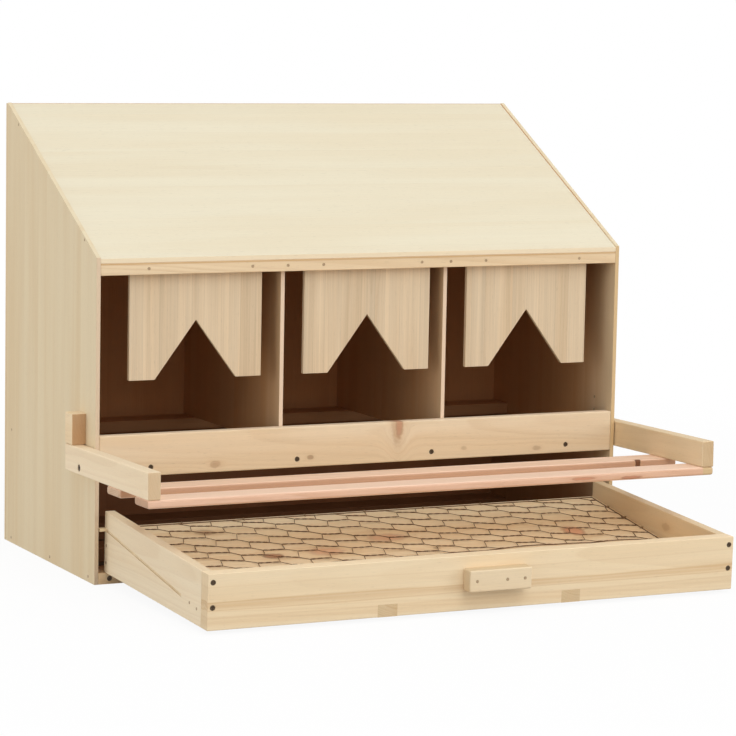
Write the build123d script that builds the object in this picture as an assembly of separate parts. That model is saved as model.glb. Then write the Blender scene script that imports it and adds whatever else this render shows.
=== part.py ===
from build123d import *
import math
import os

# Chicken nesting box: a lean-to cabinet with three bays, a perch that folds up on two arms,
# and an egg tray with a sloped floor, drawn out of the cabinet on bottom battens.
# Millimetres. X runs across the front, +Y to the back, +Z up. The cabinet's front is at Y = 0
# and the ground at Z = 0 until the pieces are moved to the origin at the end.

# Cabinet shell
cabinet_width = 686
side_depth = 307
front_height = 377
rear_height = 540
panel_thickness = 5
roof_recess = 1
panel_ease = 0.4

# Front boards
top_batten_height = 13.8
front_board_depth = 14
lip_bottom = 123.5
lip_height = 48.5
batten_ease = 0.8
lip_ease = 1.5

# Rails and bottom battens
lip_rail_depth = 14
lip_rail_height = 24
back_rail_depth = 40
back_rail_height = 14
bottom_batten_depth = 40
bottom_batten_height = 13
middle_batten_place = 149

# Bays and curtains
middle_bay_width = 209.5
middle_bay_offset = 2.5
curtain_width = 165.5
curtain_thickness = 5
curtain_bottom = 233
curtain_notch_width = 102
curtain_notch_height = 68.5
curtain_shifts = (8.125, 3.5, -3.125)

# Perch
arm_thickness = 15.5
arm_gap = 1.5
arm_below_pivot = 8
arm_above_pivot = 23
arm_reach = 211
arm_tail = 46
arm_ease = 1.5
pivot_above_lip_bottom = 12.5
perch_tilt = 1.0
slat_width = 40
slat_thickness = 9.5
slat_gap = 43.5
slat_ease = 3
stop_block_width = 23
stop_block_height = 36
stop_block_set_back = 0.5
stop_gap = 0.3

# Tray
tray_side_gap = 9
tray_rear_gap = 2
tray_seat = 6
tray_tilt = 1.67
tray_slide_gap = 0.3
tray_side_thickness = 12
tray_rear_height = 71.5
tray_front_height = 62
tray_front_thickness = 18
tray_rear_thickness = 12
tray_ease = 1
floor_thickness = 3
floor_height_at_front_plane = 50
floor_slope = 6.8
floor_slot_gap = 0.2
floor_slot_front = 56
floor_edge_inset = 1
floor_ear_length = 5
floor_ear_gap = 1
runner_width = 24
runner_height = 14
runner_offset = 115
handle_width = 78
handle_height = 25
handle_depth = 17
handle_ease = 2
handle_middle_height = 36
handle_offset = 16

# Wire net on the tray floor
net_wire = 1.2
net_selvedge = 2
net_depth = 164
net_side_margin = 3
net_rear_margin = 4
net_column_pitch = 33.4
net_row_pitch = 27.9
net_twist_length = 25
net_smallest_gap = 12
staple_wire = 1
staple_leg = 2.4
staple_room = 0.2
staple_count = 7
side_staple_count = 3

# Screws and nails
bore_room = 0.2
screw_head_diameter = 6
screw_head_depth = 2
screw_shank_diameter = 3
screw_sink = 0.6
screw_cross_length = 3.6
screw_cross_width = 0.8
screw_cross_depth = 1
nail_head_diameter = 3.4
nail_head_depth = 0.8
nail_shank_diameter = 1.5
pivot_shank_diameter = 4
pivot_head_diameter = 8
pivot_head_depth = 3
pivot_running_gap = 0.1
fixing_bite = 24
thin_fixing_bite = 3.5
lip_screw_height = 10
lip_screw_end_inset = 63.5
lip_screw_middle_offset = 89
batten_screw_inset = 14
batten_screw_length = 16
roof_nail_inset = 40
curtain_nail_inset = 18
back_nail_end_inset = 38
back_nail_middle_offset = 100
corner_screw_heights = (25, 52.5)
handle_nail_offsets = (-30, 8, 30)
floor_nail_insets = (12, 32)
rear_nail_heights = (12, 32)
block_nail_spread = 16

# Derived lines and places
outer_x = cabinet_width / 2
inner_x = outer_x - panel_thickness
roof_angle = math.atan2(rear_height - front_height, side_depth)
roof_rise = math.tan(roof_angle)
pivot_y = front_board_depth / 2
pivot_z = lip_bottom + pivot_above_lip_bottom
rail_top = lip_bottom + lip_rail_height
tray_length = side_depth - tray_rear_gap
tray_reach = tray_length - tray_seat
tray_rest_height = bottom_batten_height + tray_slide_gap


def roof_top(y):
    """Height of the roof panel's upper face."""
    return front_height - roof_recess / math.cos(roof_angle) + y * roof_rise


def roof_underside(y):
    """Height of the roof panel's lower face."""
    return roof_top(y) - panel_thickness / math.cos(roof_angle)


def slide_line(y):
    """Height of the sloped line on which the tray's underside travels."""
    return tray_rest_height + y * math.tan(math.radians(tray_tilt))


def eased(blank, radius):
    """A piece with its edges rounded, by no more than its thinnest side allows."""
    thinnest = min(tuple(blank.bounding_box().size))
    return fillet(blank.edges(), min(radius, 0.3 * thinnest))


def board(low, high, radius):
    """A straight board between two opposite corners, with eased edges."""
    size = [b - a for a, b in zip(low, high)]
    middle = [(a + b) / 2 for a, b in zip(low, high)]
    return eased(Pos(*middle) * Box(*size), radius)


def prism_x(outline, x_low, x_high):
    """A board cut to an outline of (Y, Z) points."""
    face = Plane.YZ.offset(x_low) * Polygon(*outline)
    return extrude(face, amount=x_high - x_low, dir=(1, 0, 0))


def prism_y(outline, y_low, y_high):
    """A board cut to an outline of (X, Z) points."""
    face = Plane.XZ.offset(-y_low) * Polygon(*outline)
    return extrude(face, amount=y_high - y_low, dir=(0, 1, 0))


# A fixing is a shank with a flat head. Its hole is the same shape with room all round.


def rod(point, into, start, end, diameter):
    """A round bar on the line from a point, between two depths."""
    middle = (start + end) / 2
    return Plane(origin=point, z_dir=into) * Pos(0, 0, middle) * Cylinder(diameter / 2, end - start)


def screw(point, into, length):
    """A dark screw with a cross in its sunk head."""
    neck = screw_sink + screw_head_depth
    head = rod(point, into, screw_sink, neck, screw_head_diameter)
    for turn in (0, 90):
        bar = Box(screw_cross_length, screw_cross_width, screw_cross_depth)
        place = Pos(0, 0, screw_sink + screw_cross_depth / 2) * Rot(0, 0, turn)
        head -= Plane(origin=point, z_dir=into) * place * bar
    return head + rod(point, into, neck, length, screw_shank_diameter)


def screw_hole(point, into, length):
    neck = screw_sink + screw_head_depth
    head = rod(point, into, -screw_sink, neck, screw_head_diameter + 2 * bore_room)
    return head + rod(point, into, 0, length + bore_room, screw_shank_diameter + 2 * bore_room)


def nail(point, into, length):
    """A bright nail with its head flush."""
    head = rod(point, into, 0, nail_head_depth, nail_head_diameter)
    return head + rod(point, into, nail_head_depth, length, nail_shank_diameter)


def nail_hole(point, into, length):
    head = rod(point, into, -nail_head_depth, nail_head_depth, nail_head_diameter + 2 * bore_room)
    return head + rod(point, into, 0, length + bore_room, nail_shank_diameter + 2 * bore_room)


def drill(pieces, holes):
    """Cut into each piece the holes that reach it."""
    for name, piece in pieces.items():
        reach = piece.bounding_box()
        near = [hole for hole in holes if reach.overlaps(hole.bounding_box())]
        if near:
            pieces[name] = piece - near


# Cabinet

pieces = {}

side_outline = [(0, 0), (side_depth, 0), (side_depth, rear_height), (0, front_height)]
for name, sign in (("left", -1), ("right", 1)):
    ends = sorted((sign * inner_x, sign * outer_x))
    pieces[f"{name}_side_panel"] = eased(prism_x(side_outline, *ends), panel_ease)

roof_outline = [(y, line(y)) for line, y in (
    (roof_underside, 0), (roof_underside, side_depth), (roof_top, side_depth), (roof_top, 0))]
pieces["roof_panel"] = eased(prism_x(roof_outline, -inner_x, inner_x), panel_ease)

back_low = (-outer_x, side_depth, 0)
back_high = (outer_x, side_depth + panel_thickness, roof_top(side_depth))
pieces["back_panel"] = board(back_low, back_high, panel_ease)

batten_bottom = roof_underside(0) - top_batten_height
batten_outline = [(0, batten_bottom), (front_board_depth, batten_bottom),
                  (front_board_depth, roof_underside(front_board_depth)), (0, roof_underside(0))]
pieces["top_front_batten"] = eased(prism_x(batten_outline, -inner_x, inner_x), batten_ease)

lip_low = (-inner_x, 0, lip_bottom)
lip_high = (inner_x, front_board_depth, lip_bottom + lip_height)
pieces["lip_board"] = board(lip_low, lip_high, lip_ease)

lip_rail_back = front_board_depth + lip_rail_depth
pieces["lip_rail"] = board(
    (-inner_x, front_board_depth, lip_bottom), (inner_x, lip_rail_back, rail_top), batten_ease)
back_rail_front = side_depth - back_rail_depth
pieces["back_rail"] = board(
    (-inner_x, back_rail_front, rail_top - back_rail_height), (inner_x, side_depth, rail_top), batten_ease)

partition_outline = [(front_board_depth, rail_top), (side_depth, rail_top),
                     (side_depth, roof_underside(side_depth)),
                     (front_board_depth, roof_underside(front_board_depth))]
partition_reach = (middle_bay_width + panel_thickness) / 2
partition_places = {"left": middle_bay_offset - partition_reach, "right": middle_bay_offset + partition_reach}
for name, middle in partition_places.items():
    low, high = middle - panel_thickness / 2, middle + panel_thickness / 2
    pieces[f"partition_{name}"] = eased(prism_x(partition_outline, low, high), panel_ease)

batten_places = {
    "front": bottom_batten_depth / 2,
    "middle": middle_batten_place,
    "rear": side_depth - bottom_batten_depth / 2,
}
for name, middle in batten_places.items():
    front, back = middle - bottom_batten_depth / 2, middle + bottom_batten_depth / 2
    outline = [(front, 0), (back, 0), (back, slide_line(back) - tray_slide_gap),
               (front, slide_line(front) - tray_slide_gap)]
    pieces[f"bottom_{name}_batten"] = eased(prism_x(outline, -inner_x, inner_x), batten_ease)

# Each curtain hangs behind the top batten, with an inverted V cut into its lower edge.
bay_walls = [-inner_x, partition_places["left"], partition_places["right"], inner_x]
wall_halves = [0, panel_thickness / 2, panel_thickness / 2, 0]
curtain_places = []
for bay, shift in enumerate(curtain_shifts):
    left_wall = bay_walls[bay] + wall_halves[bay]
    right_wall = bay_walls[bay + 1] - wall_halves[bay + 1]
    curtain_places.append((left_wall + right_wall) / 2 + shift)
curtain_top = roof_underside(front_board_depth)
curtain_back = front_board_depth + curtain_thickness
for name, middle in zip(("left", "middle", "right"), curtain_places):
    half = curtain_width / 2
    mouth = curtain_notch_width / 2
    outline = [(middle - half, curtain_bottom), (middle - mouth, curtain_bottom),
               (middle, curtain_bottom + curtain_notch_height),
               (middle + mouth, curtain_bottom), (middle + half, curtain_bottom),
               (middle + half, curtain_top), (middle - half, curtain_top)]
    blank = prism_y(outline, front_board_depth, curtain_back)
    upright = blank.edges().filter_by(Axis.Y)
    pieces[f"curtain_{name}"] = fillet(upright, panel_ease)

# The arm's tail bears up against this block, which keeps the perch level.
perch_rest = Pos(0, pivot_y, pivot_z) * Rot(-perch_tilt, 0, 0)
block_front = pivot_y + arm_above_pivot + stop_block_set_back
tail_rise = arm_above_pivot * math.cos(math.radians(perch_tilt))
tail_fall = (block_front - pivot_y) * math.tan(math.radians(perch_tilt))
block_bottom = pivot_z + tail_rise - tail_fall + stop_gap
block_middle = block_front + stop_block_width / 2
for name, sign in (("left", -1), ("right", 1)):
    ends = sorted((sign * outer_x, sign * (outer_x + arm_gap + arm_thickness)))
    pieces[f"stop_block_{name}"] = board(
        (ends[0], block_front, block_bottom),
        (ends[1], block_front + stop_block_width, block_bottom + stop_block_height), batten_ease)

# Cabinet fixings: where each starts, which way it is driven, and how long it is
side_bite = panel_thickness + fixing_bite
batten_middle_z = batten_bottom + top_batten_height / 2
bottom_nail_z = bottom_batten_height / 2
back_rail_z = rail_top - back_rail_height / 2
roof_middle = panel_thickness / 2 / math.cos(roof_angle)
side_nails = []
block_nails = []
for sign in (-1, 1):
    for y in (roof_nail_inset, side_depth - roof_nail_inset):
        place = (sign * outer_x, y, roof_top(y) - roof_middle)
        side_nails.append((place, (-sign, 0, 0), side_bite))
    for y in batten_places.values():
        side_nails.append(((sign * outer_x, y, bottom_nail_z), (-sign, 0, 0), side_bite))
    back_rail_y = side_depth - back_rail_depth / 2
    side_nails.append(((sign * outer_x, back_rail_y, back_rail_z), (-sign, 0, 0), side_bite))
    for up in (-0.5, 0.5):
        z = block_bottom + stop_block_height / 2 + up * block_nail_spread
        length = panel_thickness + arm_gap + arm_thickness - thin_fixing_bite
        block_nails.append(((sign * inner_x, block_middle, z), (sign, 0, 0), length))

batten_nails = []
for middle in curtain_places:
    for sign in (-1, 1):
        x = middle + sign * (curtain_width / 2 - curtain_nail_inset)
        length = front_board_depth + min(thin_fixing_bite, 0.7 * curtain_thickness)
        batten_nails.append(((x, 0, batten_middle_z), (0, 1, 0), length))
for x in partition_places.values():
    batten_nails.append(((x, 0, batten_middle_z), (0, 1, 0), front_board_depth + fixing_bite))

lip_screw_length = front_board_depth + 0.7 * lip_rail_depth
lip_screws = []
batten_screws = []
back_nails = []
for sign in (-1, 1):
    place = (sign * (inner_x - batten_screw_inset), 0, bottom_nail_z)
    batten_screws.append((place, (0, 1, 0), batten_screw_length))
    for x in (lip_screw_middle_offset, inner_x - lip_screw_end_inset):
        place = (sign * x, 0, lip_bottom + lip_screw_height)
        lip_screws.append((place, (0, 1, 0), lip_screw_length))
    for x in (back_nail_middle_offset, inner_x - back_nail_end_inset):
        for z in (back_rail_z, bottom_nail_z):
            place = (sign * x, side_depth + panel_thickness, z)
            back_nails.append((place, (0, -1, 0), side_bite))

# The pivot screws bite into the ends of the lip board. The arms turn on their shanks.
pivot_start = outer_x + arm_gap + arm_thickness
pivot_length = pivot_start - inner_x + fixing_bite


def pivot_screw(sign):
    place, into = (sign * pivot_start, pivot_y, pivot_z), (-sign, 0, 0)
    neck = screw_sink + pivot_head_depth
    head = rod(place, into, screw_sink, neck, pivot_head_diameter)
    for turn in (0, 90):
        bar = Box(screw_cross_length, screw_cross_width, screw_cross_depth)
        cross = Pos(0, 0, screw_sink + screw_cross_depth / 2) * Rot(0, 0, turn)
        head -= Plane(origin=place, z_dir=into) * cross * bar
    return head + rod(place, into, neck, pivot_length, pivot_shank_diameter)


pivot_holes = []
for sign in (-1, 1):
    place, into = (sign * pivot_start, pivot_y, pivot_z), (-sign, 0, 0)
    pivot_holes.append(rod(place, into, 0, pivot_length + bore_room, pivot_shank_diameter + 2 * bore_room))

holes = [nail_hole(*fixing) for fixing in side_nails + batten_nails + back_nails + block_nails]
holes += [screw_hole(*fixing) for fixing in lip_screws + batten_screws]
drill(pieces, holes + pivot_holes)

pieces["side_nails"] = Compound([nail(*fixing) for fixing in side_nails])
pieces["batten_nails"] = Compound([nail(*fixing) for fixing in batten_nails])
pieces["back_nails"] = Compound([nail(*fixing) for fixing in back_nails])
pieces["block_nails"] = Compound([nail(*fixing) for fixing in block_nails])
pieces["lip_screws"] = Compound([screw(*fixing) for fixing in lip_screws])
pieces["batten_screws"] = Compound([screw(*fixing) for fixing in batten_screws])
pieces["pivot_screws"] = Compound([pivot_screw(sign) for sign in (-1, 1)])

# Perch, built level about its pivot

perch = {}
arm_inner = outer_x + arm_gap
arm_outer = arm_inner + arm_thickness
slat_top = -arm_below_pivot
slat_bottom = slat_top - slat_thickness
slat_screws = []
for name, sign in (("left", -1), ("right", 1)):
    ends = sorted((sign * arm_inner, sign * arm_outer))
    arm = board((ends[0], -arm_reach, -arm_below_pivot), (ends[1], arm_tail, arm_above_pivot), arm_ease)
    axle_room = 2 * pivot_running_gap
    place, into = (sign * arm_outer, 0, 0), (-sign, 0, 0)
    head_end = screw_sink + pivot_head_depth + pivot_running_gap
    arm -= rod(place, into, -screw_sink, arm_thickness + screw_sink, pivot_shank_diameter + axle_room)
    arm -= rod(place, into, -screw_sink, head_end, pivot_head_diameter + 2 * bore_room)
    perch[f"perch_arm_{name}"] = arm
for name, front in (("front", -arm_reach), ("rear", -arm_reach + slat_width + slat_gap)):
    low, high = (-arm_outer, front, slat_bottom), (arm_outer, front + slat_width, slat_top)
    perch[f"perch_slat_{name}"] = board(low, high, slat_ease)
    for sign in (-1, 1):
        place = (sign * (arm_inner + arm_thickness / 2), front + slat_width / 2, slat_bottom)
        slat_screws.append((place, (0, 0, 1), slat_thickness + 0.6 * (arm_below_pivot + arm_above_pivot)))
drill(perch, [screw_hole(*fixing) for fixing in slat_screws])
perch["slat_screws"] = Compound([screw(*fixing) for fixing in slat_screws])

# Tray, built level with its underside at Z = 0 and the cabinet's front plane at Y = 0

tray = {}
tray_x = inner_x - tray_side_gap
tray_inner_x = tray_x - tray_side_thickness
tray_rear = tray_seat
tray_front = tray_rear - tray_length
tray_front_back = tray_front + tray_front_thickness
floor_rise = math.tan(math.radians(floor_slope))
floor_half = floor_thickness / 2 / math.cos(math.radians(floor_slope))


def floor_line(y):
    """Height of the floor panel's middle."""
    return floor_height_at_front_plane + y * floor_rise


def floor_strip(front, back, half):
    """Outline of a sloped strip along the floor panel."""
    return [(front, floor_line(front) - half), (back, floor_line(back) - half),
            (back, floor_line(back) + half), (front, floor_line(front) + half)]


tray["tray_front_board"] = board(
    (-tray_x, tray_front, 0), (tray_x, tray_front_back, tray_front_height), tray_ease)

slot_front = tray_front_back + floor_slot_front
side_profile = [(tray_front_back, 0), (tray_rear, 0), (tray_rear, tray_rear_height),
                (tray_front_back, tray_front_height)]
slot_strip = floor_strip(slot_front, tray_rear + panel_thickness, floor_half + floor_slot_gap)
slot = prism_x(slot_strip, -tray_x, tray_x)
for name, sign in (("left", -1), ("right", 1)):
    ends = sorted((sign * tray_inner_x, sign * tray_x))
    tray[f"tray_side_{name}"] = eased(prism_x(side_profile, *ends), tray_ease) - slot

narrow = prism_x(floor_strip(tray_front_back, tray_rear, floor_half), -tray_inner_x, tray_inner_x)
tongue_x = tray_x - floor_edge_inset
tongue_front = slot_front + floor_slot_gap
tongues = prism_x(floor_strip(tongue_front, tray_rear, floor_half), -tongue_x, tongue_x)
# Ears at the floor's rear end reach out to the side panels and guide the tray between them.
ear_x = inner_x - floor_ear_gap
ears = prism_x(floor_strip(tray_rear - floor_ear_length, tray_rear, floor_half), -ear_x, ear_x)
tray["tray_floor"] = narrow + tongues + ears

rear_front = tray_rear - tray_rear_thickness
rear_outline = [(rear_front, 0), (tray_rear, 0), (tray_rear, floor_line(tray_rear) - floor_half),
                (rear_front, floor_line(rear_front) - floor_half)]
tray["tray_rear_board"] = eased(prism_x(rear_outline, -tray_inner_x, tray_inner_x), batten_ease)

for name, sign in (("left", -1), ("right", 1)):
    runner = Pos(sign * runner_offset, (tray_front + rear_front) / 2, runner_height / 2)
    tray[f"tray_runner_{name}"] = runner * Box(runner_width, rear_front - tray_front, runner_height)
    tray["tray_front_board"] -= tray[f"tray_runner_{name}"]

handle_middle = Pos(handle_offset, tray_front - handle_depth / 2, handle_middle_height)
tray["tray_handle"] = eased(handle_middle * Box(handle_width, handle_depth, handle_height), handle_ease)

corner_screws = []
floor_nails = []
rear_nails = []
for sign in (-1, 1):
    for z in corner_screw_heights:
        place = (sign * (tray_x - tray_side_thickness / 2), tray_front, z)
        corner_screws.append((place, (0, 1, 0), tray_front_thickness + fixing_bite))
    for inset in floor_nail_insets:
        y = tray_front_back + inset
        length = tray_side_thickness + fixing_bite / 2
        floor_nails.append(((sign * tray_x, y, floor_line(y)), (-sign, 0, 0), length))
    for z in rear_nail_heights:
        place = (sign * tray_x, tray_rear - tray_rear_thickness / 2, z)
        rear_nails.append((place, (-sign, 0, 0), tray_side_thickness + fixing_bite))
handle_nail_length = handle_depth + 0.6 * tray_front_thickness
handle_nails = [((handle_offset + x, tray_front - handle_depth, handle_middle_height), (0, 1, 0),
                 handle_nail_length) for x in handle_nail_offsets]

# Flat net of six-sided cells, with the twisted sides along X and a heavier wire round its border
cell_half_height = net_row_pitch / 2
cell_slant = net_column_pitch - net_twist_length
cell_angle = math.atan2(cell_half_height, cell_slant)
cell_tip = net_twist_length / 2 + cell_slant - net_wire / 2 / math.sin(cell_angle)
gap_half_height = cell_half_height - net_wire / 2
gap_flat = cell_tip - gap_half_height / math.tan(cell_angle)
gap_outline = [(-cell_tip, 0), (-gap_flat, -gap_half_height), (gap_flat, -gap_half_height),
               (cell_tip, 0), (gap_flat, gap_half_height), (-gap_flat, gap_half_height)]

net_width = 2 * (tray_inner_x - net_side_margin)
net_sheet = Rectangle(net_width, net_depth)
net_window = Rectangle(net_width - 2 * net_selvedge, net_depth - 2 * net_selvedge)
half_columns = math.ceil(net_width / 2 / net_column_pitch)
half_rows = math.ceil(net_depth / 2 / net_row_pitch)
gaps = []
for column in range(-half_columns, half_columns + 1):
    for row in range(-half_rows, half_rows + 1):
        y = (row + column % 2 / 2) * net_row_pitch
        gap = Pos(column * net_column_pitch, y) * Polygon(*gap_outline) & net_window
        if gap.area > net_smallest_gap:
            gaps.append(gap.wire())
net = extrude(Face(net_sheet.wire(), gaps), amount=net_wire, dir=(0, 0, 1))


# Each staple straddles the border wire, with one leg outside the net and one in a gap.
staple_span = net_selvedge + 2 * staple_room


def staple_leg_box(room):
    width = staple_wire + 2 * room
    return Box(width, width, staple_leg + net_wire + room, align=(Align.CENTER, Align.CENTER, Align.MAX))


staple_crown = Box(staple_wire, staple_span + 2 * staple_wire, staple_wire,
                   align=(Align.CENTER, Align.CENTER, Align.MIN))
# The rear edge and the sides are stapled down, and the front edge is left loose.
border_x = (net_width - net_selvedge) / 2
border_y = (net_depth - net_selvedge) / 2
staple_pitch = net_width / (staple_count + 1)
side_staple_pitch = net_depth / (side_staple_count + 1)
staple_places = []
for step in range(staple_count):
    x = (step - (staple_count - 1) / 2) * staple_pitch
    staple_places.append(Pos(x, border_y, net_wire))
for side in (-1, 1):
    for step in range(side_staple_count):
        y = (step - (side_staple_count - 1) / 2) * side_staple_pitch
        staple_places.append(Pos(side * border_x, y, net_wire) * Rot(0, 0, 90))

leg_out = (staple_span + staple_wire) / 2
legs = [Pos(0, side * leg_out, 0) for side in (-1, 1)]
staple = staple_crown + [leg * staple_leg_box(0) for leg in legs]
staples = [place * staple for place in staple_places]
staple_holes = [place * leg * staple_leg_box(staple_room) for place in staple_places for leg in legs]

net_middle_y = tray_rear - net_rear_margin - net_depth / 2
net_seat = Pos(0, net_middle_y, floor_line(net_middle_y) + floor_half) * Rot(floor_slope, 0, 0)
leg_holes = [net_seat * hole for hole in staple_holes]
tray["wire_net"] = net_seat * (net - staple_holes)
tray["tray_floor"] -= leg_holes

tray_holes = [screw_hole(*fixing) for fixing in corner_screws]
tray_holes += [nail_hole(*fixing) for fixing in floor_nails + rear_nails + handle_nails]
drill(tray, tray_holes)
tray["net_staples"] = Compound([net_seat * each for each in staples])
tray["corner_screws"] = Compound([screw(*fixing) for fixing in corner_screws])
tray["floor_nails"] = Compound([nail(*fixing) for fixing in floor_nails])
tray["rear_board_nails"] = Compound([nail(*fixing) for fixing in rear_nails])
tray["handle_nails"] = Compound([nail(*fixing) for fixing in handle_nails])

# Rest places: the perch tips up a little at its front, the tray slopes down to its front.
tray_rest = Pos(0, 0, tray_rest_height) * Rot(tray_tilt, 0, 0)
pieces.update({name: perch_rest * piece for name, piece in perch.items()})
pieces.update({name: tray_rest * piece for name, piece in tray.items()})

# Origin: under the middle of the whole object, on the ground
extent = Compound([solid for piece in pieces.values() for solid in piece.solids()]).bounding_box()
origin_shift = -(extent.min.Y + extent.max.Y) / 2

os.makedirs("parts", exist_ok=True)
for name, piece in pieces.items():
    solids = [Pos(0, origin_shift, 0) * solid for solid in piece.solids()]
    shape = solids[0] if len(solids) == 1 else Compound(solids)
    export_step(shape, os.path.join("parts", f"{name}.step"))
    print(f"{name}: {len(solids)} solid(s)")
print(f"origin moved {origin_shift:.3f} mm along Y")
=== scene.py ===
# %% [markdown]
# This lesson dresses a three-bay laying nest of pale softwood: a cabinet under a lean-to roof, a perch
# that folds up on two arms, and an egg tray with a sloped floor and a net of twisted wire. The joiner's
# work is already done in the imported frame, where every board, nail and screw has its place. What is left
# for Blender is the grain of each board, the steel, the net, the light and the camera.

# %% Load the frame
import math
from collections import namedtuple
from itertools import count

import bmesh
import bpy
from mathutils import Matrix, Quaternion, Vector, noise


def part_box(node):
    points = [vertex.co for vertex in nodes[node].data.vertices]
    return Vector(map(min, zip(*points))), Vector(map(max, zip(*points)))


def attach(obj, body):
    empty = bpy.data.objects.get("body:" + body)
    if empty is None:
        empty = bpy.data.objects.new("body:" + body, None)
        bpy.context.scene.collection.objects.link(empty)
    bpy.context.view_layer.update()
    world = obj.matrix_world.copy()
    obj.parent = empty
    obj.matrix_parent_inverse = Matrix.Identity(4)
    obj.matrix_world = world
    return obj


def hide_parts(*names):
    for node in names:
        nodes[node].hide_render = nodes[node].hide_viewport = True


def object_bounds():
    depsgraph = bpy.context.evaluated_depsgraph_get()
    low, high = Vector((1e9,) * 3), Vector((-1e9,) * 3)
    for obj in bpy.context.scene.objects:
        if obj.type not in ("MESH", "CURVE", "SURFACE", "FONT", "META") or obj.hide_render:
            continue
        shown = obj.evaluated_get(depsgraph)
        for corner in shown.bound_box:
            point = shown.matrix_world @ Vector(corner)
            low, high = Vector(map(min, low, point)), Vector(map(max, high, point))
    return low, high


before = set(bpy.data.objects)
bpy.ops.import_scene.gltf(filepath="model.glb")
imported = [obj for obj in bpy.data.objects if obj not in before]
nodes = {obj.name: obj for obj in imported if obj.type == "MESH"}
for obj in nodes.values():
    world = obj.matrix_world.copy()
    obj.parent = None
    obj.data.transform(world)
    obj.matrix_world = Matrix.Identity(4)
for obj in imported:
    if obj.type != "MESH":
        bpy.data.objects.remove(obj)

MM = 0.001
cad_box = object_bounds()
print("nodes", len(nodes), "size", [round(v, 3) for v in cad_box[1] - cad_box[0]])

# %% [markdown]
# The camera stands to the left of the front and a little above the box, far away, with a long lens. A
# long lens keeps the boards almost parallel, as a shop picture does. The place is measured from the
# cabinet's lower front left corner. Pointing the camera with a tracking turn and then rolling it about
# its own view line keeps each number easy to change.

# %% Camera
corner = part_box("left_side_panel")[0]
eye = corner + Vector((-1.2347, -3.2316, 0.6874))
look_direction = Vector((0.43862, 0.89025, -0.12274))
camera_roll = math.radians(1.13)

camera_data = bpy.data.cameras.new("shop_camera")
camera_data.sensor_width = 36
camera_data.lens = 149.19
camera_data.shift_x = -0.0133
camera_data.shift_y = -0.00435
camera = bpy.data.objects.new("shop_camera", camera_data)
camera.location = eye
camera.rotation_mode = "QUATERNION"
camera.rotation_quaternion = look_direction.to_track_quat("-Z", "Y") @ Quaternion((0, 0, 1), camera_roll)
bpy.context.scene.collection.objects.link(camera)
bpy.context.scene.camera = camera
print("camera at", [round(v, 3) for v in eye])

# %% [markdown]
# Finishes are written as sums. Adding each Math node by hand and linking it takes four lines and hides
# the thought. Here a small class wraps one socket of a node tree and answers to plus, minus, times and
# the rest by adding Math nodes, so a mask can be written the way it is thought of.

# %% Sockets with arithmetic
class Signal:
    """One output socket of a finish. Arithmetic on it adds Math nodes."""

    def __init__(self, finish, socket):
        self.finish = finish
        self.socket = socket

    def other(self, output):
        return Signal(self.finish, self.socket.node.outputs[output])

    def math(self, operation, *others):
        return self.finish.math(operation, self, *others)

    def __add__(self, other):
        return self.math("ADD", other)

    def __radd__(self, other):
        return self.math("ADD", other)

    def __sub__(self, other):
        return self.math("SUBTRACT", other)

    def __rsub__(self, other):
        return self.finish.math("SUBTRACT", other, self)

    def __mul__(self, other):
        return self.math("MULTIPLY", other)

    def __rmul__(self, other):
        return self.math("MULTIPLY", other)

    def __truediv__(self, other):
        return self.math("DIVIDE", other)

    def ramp(self, start, end):
        """0 before start, 1 after end, and a smooth rise between them."""
        limits = {"From Min": start, "From Max": end, "Value": self}
        return self.finish.node("ShaderNodeMapRange", {"interpolation_type": "SMOOTHSTEP"}, limits)


print("sockets can be added and multiplied")

# %% [markdown]
# Another class holds the node tree of one material or of the sky. One method adds any node: its settings
# go in first, then its sockets. Colours and vectors go through Mix and Vector Math nodes, because a Math
# node would turn a colour grey. Colours are written in the steps of a paint chart, which are easier to
# compare with a real board than the linear numbers that the shader wants.

# %% Node trees and colours
class Finish:
    """The node tree of one material, or of the sky, under construction."""

    def __init__(self, holder):
        self.holder = holder
        holder.use_nodes = True
        self.tree = holder.node_tree
        self.tree.nodes.clear()

    def node(self, kind, settings=None, sockets=None, output=0):
        made = self.tree.nodes.new(kind)
        for key, value in (settings or {}).items():
            setattr(made, key, value)
        for key, value in (sockets or {}).items():
            if isinstance(value, Signal):
                self.tree.links.new(value.socket, made.inputs[key])
            else:
                made.inputs[key].default_value = value
        return Signal(self, made.outputs[output]) if made.outputs else made

    def math(self, operation, *values):
        return self.node("ShaderNodeMath", {"operation": operation}, dict(enumerate(values)))

    def point(self, x, y, z):
        return self.node("ShaderNodeCombineXYZ", {}, {0: x, 1: y, 2: z})

    def parts(self, vector):
        """The X of a vector; its Y and Z are the other outputs."""
        return self.node("ShaderNodeSeparateXYZ", {}, {0: vector})

    def blend(self, amount, first, second, way="MIX"):
        """A colour that goes from first to second as amount goes from 0 to 1."""
        settings = {"data_type": "RGBA", "blend_type": way}
        return self.node("ShaderNodeMix", settings, {0: amount, 6: first, 7: second}, 2)

    def lit(self, colour, factor):
        """A colour made lighter or darker by a factor."""
        return self.node("ShaderNodeVectorMath", {"operation": "SCALE"}, {0: colour, "Scale": factor})

    def close(self, shader, kind="ShaderNodeOutputMaterial"):
        self.node(kind, {}, {"Surface": shader})
        return self.holder


def new_finish(name):
    return Finish(bpy.data.materials.new(name))


def tone(red, green, blue):
    """A colour as a paint chart gives it, in steps of 0 to 255, made linear for the shader."""
    steps = [value / 255 for value in (red, green, blue)]
    linear = [v / 12.92 if v <= 0.04045 else ((v + 0.055) / 1.055) ** 2.4 for v in steps]
    return (*linear, 1.0)


print("a middle grey is", round(tone(128, 128, 128)[0], 3), "to the shader")

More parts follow.
